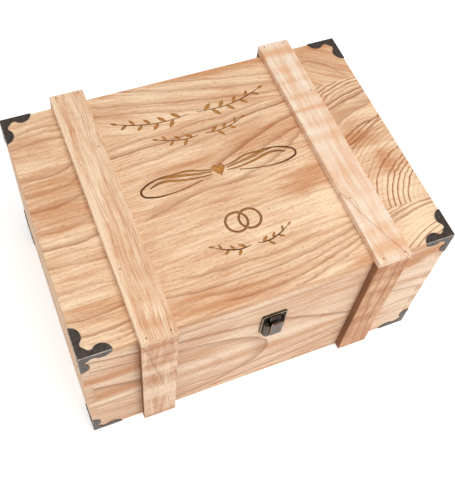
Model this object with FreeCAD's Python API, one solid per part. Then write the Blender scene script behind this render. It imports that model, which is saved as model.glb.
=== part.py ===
import FreeCAD, Part
import math
import os

# A lidded wooden chest with two wooden straps, sheet-metal corners, two hinges at the back and a lever latch.
# Millimetres. X runs along the front, Y from front to back, Z up.
# The origin is under the middle of the chest, on the surface that it stands on.

Vector = FreeCAD.Vector

# Wooden case, measured over the wood
case_width = 380.0
case_depth = 277.0
base_height = 139.5
lid_height = 58.0
board = 8.0
seam_gap = 0.3
base_fingers = 9
lid_fingers = 3

# Wooden straps round the case
strap_width = 35.5
strap_thickness = 8.5
strap_from_end = 72.0
strap_foot_gap = 3.2
strap_edge_round = 1.0

# Scalloped sheet-metal corners
corner_sheet = 0.8
corner_leg = 32.2
corner_tip_at = 30.3
corner_tip = 5.4
corner_lobe_at = 21.0
corner_lobe = 9.5
corner_fall_at = 18.9
corner_fall = 9.0
corner_shoulder_at = 17.0
corner_shoulder = 7.9
corner_waist_at = 13.2
corner_waist = 6.0
corner_cusp = 9.2
corner_edge_round = 0.7

# Tacks of the corners, placed from the outer corner
tack_along = 24.0
tack_inset = 4.6
tack_head_radius = 1.1
tack_head_height = 0.5
tack_shank_radius = 0.4

# Nails of the straps
nail_head_radius = 0.8
nail_head_height = 0.25
nail_shank_radius = 0.6
nail_side = 11.5
nail_grip = 6.0
base_nail_rise = 53.0
base_nail_drop = 27.0
lid_nail_rise = 22.0
lid_nail_drop = 12.0
top_nail_along = 70.0

# Butt hinges on the back
hinge_from_strap = 56.0
hinge_length = 40.0
hinge_leaf_height = 16.0
hinge_leaf_sheet = 1.0
hinge_barrel_radius = 2.5
hinge_barrel_lift = 0.3
hinge_pin_radius = 1.2
hinge_pin_head_radius = 1.9
hinge_pin_head_height = 0.6
hinge_knuckles = 5
hinge_knuckle_gap = 0.2
hinge_neck_gap = 0.2
hinge_screws = 3
hinge_screw_pitch = 13.0
hinge_screw_reach = 10.0
screw_head_radius = 1.9
screw_head_height = 0.9
screw_shank_radius = 0.9
screw_grip = 6.0

# How far the lid opens, and how far past that the back straps would meet
lid_opening = 100.0
lid_stop_margin = 2.0

# Lever latch on the front
latch_offset = 2.6
latch_width = 27.0
latch_sheet = 0.8
latch_rim = 1.6
latch_rim_height = 1.2
latch_corner_round = 3.2
keeper_height = 15.0
latch_base_height = 22.0
latch_seam_inset = 0.2
latch_nail_head_radius = 1.2
latch_nail_head_height = 0.6
latch_nail_shank_radius = 0.5
latch_nail_grip = 6.0
latch_nail_margin = 0.4
base_plate_nail_side = 3.0
base_plate_nail_rise = 12.0
tongue_width = 11.0
tongue_sheet = 1.1
tongue_stand = 3.4
tongue_drop = 6.5
tongue_root_low = 7.6
tongue_root_high = 9.2
tongue_bend = 2.2
lever_width = 11.6
lever_sheet = 1.2
lever_front_stand = 8.4
lever_rise = 5.2
lever_lip = 1.2
lever_lip_reach = 1.1
lever_edge_round = 0.6
lever_corner_round = 1.6
lever_barrel_radius = 3.2
lever_pivot_height = 4.4
cheek_width = 4.8
cheek_land = 0.6
cheek_gap = 0.6
cheek_stand = 7.2
cheek_foot = 0.6
cheek_rise = 1.2
cheek_clearance = 0.4
latch_pin_radius = 0.9

# Fits
pin_clearance = 0.05
pilot_clearance = 0.05
pilot_end_gap = 0.2

# Levels and faces that follow from the sizes above
half_width = case_width / 2
half_depth = case_depth / 2
wood_bottom = corner_sheet
base_top = wood_bottom + base_height
lid_bottom = base_top + seam_gap
lid_top = lid_bottom + lid_height
wall_bottom = wood_bottom + board
wall_top = lid_top - board
hinge_y = half_depth + hinge_barrel_lift + hinge_barrel_radius
hinge_z = base_top + seam_gap / 2
strap_middle = half_width - strap_from_end
strap_face = half_depth + strap_thickness
back_strap_gap = (strap_face - hinge_y) * math.tan(math.radians((lid_opening + lid_stop_margin) / 2))
outer_half_width = half_width + corner_sheet
outer_half_depth = half_depth + corner_sheet
outer_top = lid_top + corner_sheet
tack_length = tack_inset - 2 * tack_shank_radius
lever_pivot_stand = lever_front_stand - lever_barrel_radius
latch_bottom = base_top - latch_base_height
lever_pivot_z = latch_bottom + lever_pivot_height
cheek_inside = lever_width / 2 + cheek_gap
cheek_outside = cheek_inside + cheek_width

nodes = {}
pilot_holes = []


def block(x_range, y_range, z_range):
    low = Vector(min(x_range), min(y_range), min(z_range))
    high = Vector(max(x_range), max(y_range), max(z_range))
    size = high - low
    return Part.makeBox(size.x, size.y, size.z, low)


def closed_face(start, *moves):
    """Flat face from a start point: a point is a straight move, a pair (via, end) is an arc."""
    edges = []
    here = start
    for move in moves + (start,):
        if isinstance(move, tuple):
            via, there = move
            edges.append(Part.Arc(here, via, there).toShape())
        else:
            there = move
            edges.append(Part.LineSegment(here, there).toShape())
        here = there
    return Part.Face(Part.Wire(edges))


def joined(shapes):
    return shapes[0].multiFuse(shapes[1:]).removeSplitter()


def rounded_edges(shape, radius, chosen):
    """Round the edges whose middle point passes the test."""
    edges = [edge for edge in shape.Edges if chosen(edge.CenterOfMass)]
    return shape.makeFillet(radius, edges)


def headed_pin(seat, outward, head_radius, head_height, shank_radius, shank_length):
    """Pin with a domed head: its head sits on the seat point and its shank runs inward."""
    dome_radius = (head_radius ** 2 + head_height ** 2) / (2 * head_height)
    dome_middle = head_radius / 2
    dome_level = head_height - dome_radius + math.sqrt(dome_radius ** 2 - dome_middle ** 2)
    half_section = closed_face(
        Vector(0, 0, -shank_length),
        Vector(shank_radius, 0, -shank_length),
        Vector(shank_radius, 0, 0),
        Vector(head_radius, 0, 0),
        (Vector(dome_middle, 0, dome_level), Vector(0, 0, head_height)),
    )
    pin = half_section.revolve(Vector(0, 0, 0), Vector(0, 0, 1), 360)
    pin.Placement = FreeCAD.Placement(seat, FreeCAD.Rotation(Vector(0, 0, 1), outward))
    return pin


def driven_pin(seat, outward, head_radius, head_height, shank_radius, shank_length):
    """Headed pin together with its pilot hole in whatever it is driven through."""
    hole_length = shank_length + pilot_end_gap
    pilot_holes.append(Part.makeCylinder(shank_radius + pilot_clearance, hole_length, seat, -outward))
    return headed_pin(seat, outward, head_radius, head_height, shank_radius, shank_length)


def drilled(shape):
    """Cut the pilot holes that reach into the shape."""
    reach = shape.BoundBox
    holes = [hole for hole in pilot_holes if hole.BoundBox.intersect(reach)]
    return shape.cut(holes) if holes else shape


def finger_steps(low, high, count, first):
    """Levels of every second step up a finger-jointed corner."""
    step = (high - low) / count
    return [(low + index * step, low + (index + 1) * step) for index in range(first, count, 2)]


def walls(low, high, fingers):
    """Front, back, left and right wall between two levels, their ends cut as interlocking fingers."""
    made = {}
    inner_half_width = half_width - board
    inner_half_depth = half_depth - board
    for name, side in (("front", -1), ("back", 1)):
        wall = block((-half_width, half_width), (side * inner_half_depth, side * half_depth), (low, high))
        slots = []
        for step in finger_steps(low, high, fingers, 1):
            for end in (-1, 1):
                slots.append(block((end * inner_half_width, end * half_width),
                                   (side * inner_half_depth, side * half_depth), step))
        made[name] = wall.cut(slots)
    for name, side in (("left", -1), ("right", 1)):
        wall = block((side * inner_half_width, side * half_width), (-half_depth, half_depth), (low, high))
        slots = []
        for step in finger_steps(low, high, fingers, 0):
            for end in (-1, 1):
                slots.append(block((side * inner_half_width, side * half_width),
                                   (end * inner_half_depth, end * half_depth), step))
        made[name] = wall.cut(slots)
    return made


def strap_x(side):
    middle = side * strap_middle
    return middle - strap_width / 2, middle + strap_width / 2


def upright_strap(side, face, low, high):
    """Strap piece on the front (face -1) or the back (face 1), its outer long edges eased."""
    strap = block(strap_x(side), (face * half_depth, face * strap_face), (low, high))
    middle = (low + high) / 2
    return rounded_edges(
        strap,
        strap_edge_round,
        lambda point: math.isclose(point.y, face * strap_face) and math.isclose(point.z, middle),
    )


def top_strap(side):
    """Strap piece over the lid: it covers the ends of the upright pieces, front and back."""
    top = lid_top + strap_thickness
    strap = block(strap_x(side), (-strap_face, strap_face), (lid_top, top))
    return rounded_edges(strap, strap_edge_round, lambda point: math.isclose(point.z, top))


def strap_nail(seat, outward):
    length = strap_thickness + nail_grip
    return driven_pin(seat, outward, nail_head_radius, nail_head_height, nail_shank_radius, length)


def upright_strap_nails(side, face, low_nail, high_nail):
    """Two nails through a strap piece into the wall at two levels, one near each long edge."""
    middle = side * strap_middle
    made = []
    for level, offset in ((low_nail, -nail_side), (high_nail, nail_side)):
        seat = Vector(middle + offset, face * strap_face, level)
        made.append(strap_nail(seat, Vector(0, face, 0)))
    return made


def top_strap_nails(side):
    """Nails at both ends into the upright pieces, and two along the strap into the lid's top board."""
    middle = side * strap_middle
    top = lid_top + strap_thickness
    spots = []
    for end in (-1, 1):
        spots.append((middle + end * nail_side, end * top_nail_along))
        for offset in (-nail_side, nail_side):
            spots.append((middle + offset, end * (half_depth + strap_thickness / 2)))
    return [strap_nail(Vector(x, y, top), Vector(0, 0, 1)) for x, y in spots]


def corner_plate():
    """One face of a corner: two rounded lobes along the edges with a cusp between two bites."""
    lobe_side = [
        (corner_tip_at, corner_tip),
        (corner_lobe_at, corner_lobe),
        (corner_fall_at, corner_fall),
        (corner_shoulder_at, corner_shoulder),
        (corner_waist_at, corner_waist),
    ]
    tip, lobe, fall, shoulder, waist = [Vector(along, across, 0) for along, across in lobe_side]
    tip_2, lobe_2, fall_2, shoulder_2, waist_2 = [Vector(across, along, 0) for along, across in lobe_side]
    cusp = Vector(corner_cusp, corner_cusp, 0)
    face = closed_face(
        Vector(0, 0, 0),
        Vector(corner_leg, 0, 0),
        (tip, lobe),
        (fall, shoulder),
        (waist, cusp),
        (waist_2, shoulder_2),
        (fall_2, lobe_2),
        (tip_2, Vector(0, corner_leg, 0)),
    )
    return face.extrude(Vector(0, 0, corner_sheet))


def turned(point, turns):
    """Point turned about the corner's diagonal, so that one face's layout lands on the next face."""
    values = (point.x, point.y, point.z)
    return Vector(*[values[(index - turns) % 3] for index in range(3)])


def corner_blank():
    """Corner protector in its own frame: outer corner at the origin, the chest towards +X, +Y and +Z."""
    plates = []
    for turns in range(3):
        plate = corner_plate()
        plate.rotate(Vector(0, 0, 0), Vector(1, 1, 1), 120 * turns)
        plates.append(plate)
    blank = joined(plates)
    on_axis = corner_edge_round / 10
    folds = [
        edge for edge in blank.Edges
        if sum(1 for value in edge.CenterOfMass if abs(value) < on_axis) == 2 and edge.Length > corner_leg / 2
    ]
    return blank.makeFillet(corner_edge_round, folds)


def corner_tack_spots(skip_bottom):
    """Seat and outward direction of each tack, in the corner's own frame."""
    spots = []
    for turns in range(3):
        outward = turned(Vector(0, 0, -1), turns)
        if skip_bottom and outward.z < 0:
            continue
        for along, across in ((tack_along, tack_inset), (tack_inset, tack_along)):
            spots.append((turned(Vector(along, across, 0), turns), outward))
    return spots


def fit_corner(side, face, level):
    """Corner protector and its tacks at one corner of the chest: side, face and level are -1 or 1."""
    signs = Vector(-side, -face, -level)
    place = Vector(side * outer_half_width, face * outer_half_depth, outer_top if level > 0 else 0)

    def world(point):
        return Vector(point.x * signs.x, point.y * signs.y, point.z * signs.z)

    shape = corner_blank()
    for axis, sign in ((Vector(1, 0, 0), signs.x), (Vector(0, 1, 0), signs.y), (Vector(0, 0, 1), signs.z)):
        if sign < 0:
            shape = shape.mirror(Vector(0, 0, 0), axis)
    shape.translate(place)
    tacks = []
    for spot, outward in corner_tack_spots(skip_bottom=level < 0):
        tacks.append(driven_pin(world(spot) + place, world(outward), tack_head_radius, tack_head_height,
                                tack_shank_radius, tack_length))
    return shape, tacks


def hinge_leaf(middle, side):
    """Hinge leaf flat on the back: side -1 is the base's leaf, side 1 the lid's."""
    left = middle - hinge_length / 2
    pitch = hinge_length / hinge_knuckles
    root = hinge_barrel_radius + hinge_barrel_lift
    sheet = (half_depth, half_depth + hinge_leaf_sheet)
    pieces = [block((left, left + hinge_length), sheet,
                    (hinge_z + side * root, hinge_z + side * hinge_leaf_height))]
    first = 0 if side < 0 else 1
    for index in range(first, hinge_knuckles, 2):
        start = left + index * pitch + hinge_knuckle_gap / 2
        length = pitch - hinge_knuckle_gap
        pieces.append(block((start, start + length), sheet,
                            (hinge_z + side * hinge_neck_gap, hinge_z + side * root)))
        pieces.append(Part.makeCylinder(hinge_barrel_radius, length, Vector(start, hinge_y, hinge_z),
                                        Vector(1, 0, 0)))
    bore = Part.makeCylinder(hinge_pin_radius + pin_clearance, hinge_length, Vector(left, hinge_y, hinge_z),
                             Vector(1, 0, 0))
    return joined(pieces).cut(bore)


def hinge_leaf_screws(middle, side):
    made = []
    for index in range(hinge_screws):
        across = (index - (hinge_screws - 1) / 2) * hinge_screw_pitch
        seat = Vector(middle + across, half_depth + hinge_leaf_sheet, hinge_z + side * hinge_screw_reach)
        made.append(driven_pin(seat, Vector(0, 1, 0), screw_head_radius, screw_head_height,
                               screw_shank_radius, hinge_leaf_sheet + screw_grip))
    return made


def cross_pin(start, length, radius, head_radius, head_height):
    """Pin along X with a flat head on each end, just outside its length."""
    along = Vector(1, 0, 0)
    pieces = [Part.makeCylinder(radius, length, start, along)]
    for offset in (-head_height, length):
        pieces.append(Part.makeCylinder(head_radius, head_height, start + along * offset, along))
    return joined(pieces)


def tab_face(half, near, far, radius):
    """Upright plate outline with square corners at its near level and rounded corners at its far level."""
    way = math.copysign(1, far - near)
    dip = radius * (1 - math.sqrt(0.5))
    return closed_face(
        Vector(-half, 0, near),
        Vector(half, 0, near),
        Vector(half, 0, far - way * radius),
        (Vector(half - dip, 0, far - way * dip), Vector(half - radius, 0, far)),
        Vector(radius - half, 0, far),
        (Vector(dip - half, 0, far - way * dip), Vector(-half, 0, far - way * radius)),
    )


def latch_plate(near, far):
    """Pressed plate on the front wall with a raised rim on three sides, open towards the seam."""
    way = math.copysign(1, far - near)
    half = latch_width / 2
    outer = tab_face(half, near, far, latch_corner_round)
    blank = outer.extrude(Vector(0, -latch_sheet - latch_rim_height, 0))
    inside = tab_face(half - latch_rim, near, far - way * latch_rim, latch_corner_round - latch_rim / 2)
    pocket = inside.extrude(Vector(0, -latch_rim_height, 0))
    pocket.translate(Vector(0, -latch_sheet, 0))
    plate = blank.cut(pocket)
    plate.translate(Vector(latch_offset, -half_depth, 0))
    return plate


def from_wall(x, stand, z):
    """Point given by its distance sideways from the latch's middle and out from the front wall."""
    return Vector(latch_offset + x, -half_depth - stand, z)


def latch_nails(half_spacing, level):
    """Two nails through a latch plate at one level."""
    made = []
    for side in (-1, 1):
        seat = from_wall(side * half_spacing, latch_sheet, level)
        made.append(driven_pin(seat, Vector(0, -1, 0), latch_nail_head_radius, latch_nail_head_height,
                               latch_nail_shank_radius, latch_sheet + latch_nail_grip))
    return made


def latch_keeper():
    """Plate on the lid with a tongue that curls out and hangs down behind the lever."""
    near = lid_bottom + latch_seam_inset
    plate = latch_plate(near, lid_bottom + keeper_height)
    left = -tongue_width / 2
    back = tongue_stand
    front = tongue_stand + tongue_sheet
    tip = base_top - tongue_drop
    tip_round = tongue_sheet / 2
    low = lid_bottom + tongue_root_low
    high = lid_bottom + tongue_root_high
    bend = low - tongue_bend
    section = closed_face(
        from_wall(left, latch_sheet / 2, high),
        from_wall(left, latch_sheet, high),
        (from_wall(left, (latch_sheet + 2 * front) / 3, (high + low) / 2), from_wall(left, front, bend)),
        from_wall(left, front, tip + tip_round),
        (from_wall(left, back + tip_round, tip), from_wall(left, back, tip + tip_round)),
        from_wall(left, back, bend),
        (from_wall(left, (latch_sheet + 2 * back) / 3, (low + bend) / 2), from_wall(left, latch_sheet, low)),
        from_wall(left, latch_sheet / 2, low),
    )
    return joined([plate, section.extrude(Vector(tongue_width, 0, 0))])


def latch_housing():
    """Block with rounded flanks from which the cheeks are left standing, a little higher than the seam."""
    land = cheek_inside + cheek_land
    flank = cheek_outside - land
    flank_x = land + flank * math.sqrt(0.5)
    flank_stand = latch_sheet + (cheek_stand - latch_sheet) * math.sqrt(0.5)
    foot = latch_bottom + cheek_foot
    section = closed_face(
        from_wall(-cheek_outside, latch_sheet / 2, foot),
        from_wall(-cheek_outside, latch_sheet, foot),
        (from_wall(-flank_x, flank_stand, foot), from_wall(-land, cheek_stand, foot)),
        from_wall(land, cheek_stand, foot),
        (from_wall(flank_x, flank_stand, foot), from_wall(cheek_outside, latch_sheet, foot)),
        from_wall(cheek_outside, latch_sheet / 2, foot),
    )
    return section.extrude(Vector(0, 0, base_top + cheek_rise - foot))


def latch_base():
    """Plate on the base with two cheeks that carry the pin and stay clear of the keeper."""
    plate = latch_plate(base_top - latch_seam_inset, latch_bottom)
    across = (latch_offset - cheek_inside, latch_offset + cheek_inside)
    wide = (latch_offset - cheek_outside, latch_offset + cheek_outside)
    levels = (latch_bottom, base_top + cheek_rise)
    slot = block(across, (-half_depth, -half_depth - cheek_stand), levels)
    keeper_room = block(wide, (-half_depth, -half_depth - latch_sheet - cheek_clearance),
                        (base_top - latch_seam_inset, base_top + cheek_rise))
    cheeks = latch_housing().cut([slot, keeper_room])
    bore = Part.makeCylinder(latch_pin_radius + pin_clearance, 2 * cheek_outside,
                             from_wall(-cheek_outside, lever_pivot_stand, lever_pivot_z), Vector(1, 0, 0))
    return joined([plate, cheeks]).cut(bore)


def latch_pin():
    """Pin through both cheeks, its ends peened flush with their flanks."""
    rod = Part.makeCylinder(latch_pin_radius, 2 * cheek_outside,
                            from_wall(-cheek_outside, lever_pivot_stand, lever_pivot_z), Vector(1, 0, 0))
    return rod.common(latch_housing())


def latch_lever():
    """Sheet lever rolled round the pin at its foot, with its top edge turned in over the tongue."""
    left = -lever_width / 2
    top = base_top + lever_rise
    front = lever_front_stand
    back = front - lever_sheet
    lip_back = back - lever_lip_reach
    dip = lever_edge_round * (1 - math.sqrt(0.5))
    roll_rise = math.sqrt(lever_barrel_radius ** 2 - (back - lever_pivot_stand) ** 2)
    section = closed_face(
        from_wall(left, lip_back, top - lever_lip),
        from_wall(left, lip_back, top),
        from_wall(left, front - lever_edge_round, top),
        (from_wall(left, front - dip, top - dip), from_wall(left, front, top - lever_edge_round)),
        from_wall(left, front, lever_pivot_z),
        (from_wall(left, lever_pivot_stand - lever_barrel_radius, lever_pivot_z),
         from_wall(left, back, lever_pivot_z + roll_rise)),
        from_wall(left, back, top - lever_lip),
    )
    bore = Part.makeCylinder(latch_pin_radius + pin_clearance, lever_width,
                             from_wall(left, lever_pivot_stand, lever_pivot_z), Vector(1, 0, 0))
    front_view = tab_face(lever_width / 2, latch_bottom, top, lever_corner_round)
    trim = front_view.extrude(Vector(0, -lever_front_stand, 0))
    trim.translate(Vector(latch_offset, -half_depth, 0))
    return section.extrude(Vector(lever_width, 0, 0)).common(trim).cut(bore)


side_names = {-1: "left", 1: "right"}
face_names = {-1: "front", 1: "back"}

# Boards and walls
case_x = (-half_width, half_width)
case_y = (-half_depth, half_depth)
nodes["base_bottom_board"] = block(case_x, case_y, (wood_bottom, wall_bottom))
nodes["lid_top_board"] = block(case_x, case_y, (wall_top, lid_top))
for name, wall in walls(wall_bottom, base_top, base_fingers).items():
    nodes[f"base_{name}_wall"] = wall
for name, wall in walls(lid_bottom, wall_top, lid_fingers).items():
    nodes[f"lid_{name}_wall"] = wall

# Straps: upright pieces end at the seam in front, and clear of the hinge line at the back
nodes["base_strap_nails"] = []
nodes["lid_strap_nails"] = []
for side, side_name in side_names.items():
    nodes[f"lid_top_{side_name}_strap"] = top_strap(side)
    nodes["lid_strap_nails"] += top_strap_nails(side)
    for face, face_name in face_names.items():
        foot = wood_bottom + strap_foot_gap
        base_end = base_top if face < 0 else hinge_z - back_strap_gap
        lid_end = lid_bottom if face < 0 else hinge_z + back_strap_gap
        nodes[f"base_{face_name}_{side_name}_strap"] = upright_strap(side, face, foot, base_end)
        nodes[f"lid_{face_name}_{side_name}_strap"] = upright_strap(side, face, lid_end, lid_top)
        nodes["base_strap_nails"] += upright_strap_nails(side, face, foot + base_nail_rise,
                                                         base_end - base_nail_drop)
        nodes["lid_strap_nails"] += upright_strap_nails(side, face, lid_end + lid_nail_rise,
                                                        lid_top - lid_nail_drop)

# Corners
nodes["bottom_corner_tacks"] = []
nodes["top_corner_tacks"] = []
for level, level_name in ((-1, "bottom"), (1, "top")):
    for side, side_name in side_names.items():
        for face, face_name in face_names.items():
            shape, tacks = fit_corner(side, face, level)
            nodes[f"{level_name}_corner_{face_name}_{side_name}"] = shape
            nodes[f"{level_name}_corner_tacks"] += tacks

# Hinges
nodes["hinge_lower_screws"] = []
nodes["hinge_upper_screws"] = []
for side, side_name in side_names.items():
    middle = side * (strap_middle - hinge_from_strap)
    nodes[f"hinge_{side_name}_lower_leaf"] = hinge_leaf(middle, -1)
    nodes[f"hinge_{side_name}_upper_leaf"] = hinge_leaf(middle, 1)
    nodes["hinge_lower_screws"] += hinge_leaf_screws(middle, -1)
    nodes["hinge_upper_screws"] += hinge_leaf_screws(middle, 1)
    pin_start = Vector(middle - hinge_length / 2, hinge_y, hinge_z)
    nodes[f"hinge_{side_name}_pin"] = cross_pin(pin_start, hinge_length, hinge_pin_radius,
                                                hinge_pin_head_radius, hinge_pin_head_height)

# Latch
nodes["latch_keeper"] = latch_keeper()
keeper_nail_inset = latch_rim + latch_nail_head_radius + latch_nail_margin
nodes["latch_keeper_nails"] = latch_nails(latch_width / 2 - keeper_nail_inset,
                                          lid_bottom + keeper_height - keeper_nail_inset)
nodes["latch_base"] = latch_base()
nodes["latch_base_nails"] = latch_nails(base_plate_nail_side, latch_bottom + base_plate_nail_rise)
nodes["latch_lever"] = latch_lever()
nodes["latch_pin"] = latch_pin()

# Everything that is driven into another piece has its pilot hole there
os.makedirs("parts", exist_ok=True)
for name, shape in nodes.items():
    if isinstance(shape, list):
        finished = Part.makeCompound(shape)
    else:
        finished = drilled(shape)
    finished.exportStep(f"parts/{name}.step")
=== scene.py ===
import math

import bmesh
import bpy
from mathutils import Matrix, Vector


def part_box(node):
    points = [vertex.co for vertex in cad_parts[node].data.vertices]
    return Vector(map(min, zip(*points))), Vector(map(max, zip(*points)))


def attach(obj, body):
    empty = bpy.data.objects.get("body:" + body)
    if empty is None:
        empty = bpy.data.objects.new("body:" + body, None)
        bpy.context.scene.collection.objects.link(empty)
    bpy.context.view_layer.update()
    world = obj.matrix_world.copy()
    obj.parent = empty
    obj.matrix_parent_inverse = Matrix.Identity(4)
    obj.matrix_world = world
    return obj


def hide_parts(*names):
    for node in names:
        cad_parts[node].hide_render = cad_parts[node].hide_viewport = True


# A lidded keepsake chest of pale wood with two wooden straps, dark metal corners, two hinges and a latch.
# Metres, in the frame's axes: X along the front, Y from front to back, Z up.
# Grain and burnt-in ornament are laid out in millimetres.

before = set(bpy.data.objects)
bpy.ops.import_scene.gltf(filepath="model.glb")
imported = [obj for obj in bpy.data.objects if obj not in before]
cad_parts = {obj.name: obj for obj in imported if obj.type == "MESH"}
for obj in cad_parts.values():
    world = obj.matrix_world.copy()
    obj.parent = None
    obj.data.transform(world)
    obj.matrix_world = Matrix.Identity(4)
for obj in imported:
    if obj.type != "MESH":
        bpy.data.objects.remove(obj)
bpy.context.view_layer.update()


# Bottom board of the base
# One flat board of pale, lightly scorched wood that closes the base from below.
# It is glued to the lower edges of the four walls, and its edge shows as a strip round the foot.

mm = 0.001
board_edge = 0.45 * mm
sharp_turn = math.radians(30)

# Widths of a ring line's crisp side and core, and how far it fades at its ends
vein_edge = 0.9
vein_line = 2.4
vein_fade = 18.0

# How far the patches of each pattern in the wood reach along the grain, across it and into the board
bend_reach = (45.0, 22.0, 40.0)
kink_reach = (9.0, 5.0, 9.0)
fibre_reach = (22.0, 0.8, 0.8)
streak_reach = (48.0, 3.2, 6.0)
cloud_reach = (100.0, 20.0, 30.0)
pore_reach = (4.5, 0.8, 0.8)
curl_width = 60.0
grain_relief = 0.12 * mm


def tint(code):
    """Linear colour of a six-digit colour code."""
    shares = [int(code[start:start + 2], 16) / 255 for start in (0, 2, 4)]
    linear = [share / 12.92 if share <= 0.04045 else ((share + 0.055) / 1.055) ** 2.4 for share in shares]
    return (*linear, 1.0)


def feed(tree, socket, value):
    """Give a node's input a value, or the output of another node."""
    if isinstance(value, bpy.types.NodeSocket):
        tree.links.new(value, socket)
    else:
        socket.default_value = value


def calc(tree, operation, *values):
    node = tree.nodes.new("ShaderNodeMath")
    node.operation = operation
    for socket, value in zip(node.inputs, values):
        feed(tree, socket, value)
    return node.outputs["Value"]


def vector(tree, operation, *values):
    node = tree.nodes.new("ShaderNodeVectorMath")
    node.operation = operation
    for socket, value in zip(node.inputs, values):
        feed(tree, socket, value)
    return node.outputs["Value" if operation in ("LENGTH", "DOT_PRODUCT") else "Vector"]


def combine(tree, *values):
    node = tree.nodes.new("ShaderNodeCombineXYZ")
    for socket, value in zip(node.inputs, values):
        feed(tree, socket, value)
    return node.outputs["Vector"]


def blend(tree, share, first, second):
    """Mix of two colours."""
    node = tree.nodes.new("ShaderNodeMix")
    node.data_type = "RGBA"
    node.clamp_factor = True
    feed(tree, node.inputs["Factor"], share)
    feed(tree, node.inputs[6], first)
    feed(tree, node.inputs[7], second)
    return node.outputs[2]


def spread(tree, value, low, high, to_low=0.0, to_high=1.0):
    """Value carried smoothly from one range to another and held inside it."""
    node = tree.nodes.new("ShaderNodeMapRange")
    node.interpolation_type = "SMOOTHSTEP"
    for socket, part in zip(node.inputs, (value, low, high, to_low, to_high)):
        feed(tree, socket, part)
    return node.outputs["Result"]


def mottle(tree, place, reach, detail=2.0, shift=0.0):
    """Soft random pattern, about nought, whose patches reach so many millimetres along each axis."""
    noise = tree.nodes.new("ShaderNodeTexNoise")
    noise.inputs["Scale"].default_value = 1.0
    noise.inputs["Detail"].default_value = detail
    thinner = tuple(1 / length for length in reach)
    feed(tree, noise.inputs["Vector"], vector(tree, "MULTIPLY_ADD", place, thinner, (shift, shift, shift)))
    return calc(tree, "SUBTRACT", noise.outputs["Fac"], 0.5)


def toned(tree, place, tone, shades):
    """Add soft spots to a tone. Each gives its middle and reach (along, across) and its strength."""
    for middle_along, middle_over, reach_along, reach_over, strength in shades:
        away = vector(tree, "SUBTRACT", place, (middle_along, middle_over, 0.0))
        scaled = vector(tree, "MULTIPLY", away, (1 / reach_along, 1 / reach_over, 0.0))
        fall = calc(tree, "MULTIPLY", vector(tree, "DOT_PRODUCT", scaled, scaled), -1.0)
        tone = calc(tree, "MULTIPLY_ADD", calc(tree, "EXPONENT", fall), strength, tone)
    return tone


def line_shade(tree, away, soft):
    """Darkness of a ring line at a distance from it. Soft is the reach of its soft side, with its sign."""
    soft_side = spread(tree, away, soft, 0.0, 0.0, 0.75)
    line_side = spread(tree, away, math.copysign(vein_line, soft), 0.0, 0.0, 0.25)
    crisp_side = spread(tree, away, -math.copysign(vein_edge, soft), 0.0)
    return calc(tree, "MULTIPLY", calc(tree, "ADD", soft_side, line_side), crisp_side)


def veined(tree, along, over, veins):
    """Darkness of ring lines, each given by three points (along, across), its soft side and its depth."""
    total = 0.0
    for first, middle, last, soft, depth in veins:
        slope = (middle[1] - first[1]) / (middle[0] - first[0])
        bend = ((last[1] - middle[1]) / (last[0] - middle[0]) - slope) / (last[0] - first[0])
        turn = calc(tree, "MULTIPLY_ADD", calc(tree, "SUBTRACT", along, middle[0]), bend, slope)
        line = calc(tree, "MULTIPLY_ADD", calc(tree, "SUBTRACT", along, first[0]), turn, first[1])
        low_end, high_end = sorted((first[0], last[0]))
        started = spread(tree, along, low_end - vein_fade, low_end, 0.0, depth)
        ended = spread(tree, along, high_end + vein_fade, high_end)
        dark = line_shade(tree, calc(tree, "SUBTRACT", over, line), soft)
        dark = calc(tree, "MULTIPLY", calc(tree, "MULTIPLY", dark, started), ended)
        total = calc(tree, "MAXIMUM", total, dark)
    return total


def bare_material(name):
    material = bpy.data.materials.new(name)
    material.use_nodes = True
    tree = material.node_tree
    return material, tree, tree.nodes["Principled BSDF"]


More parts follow.
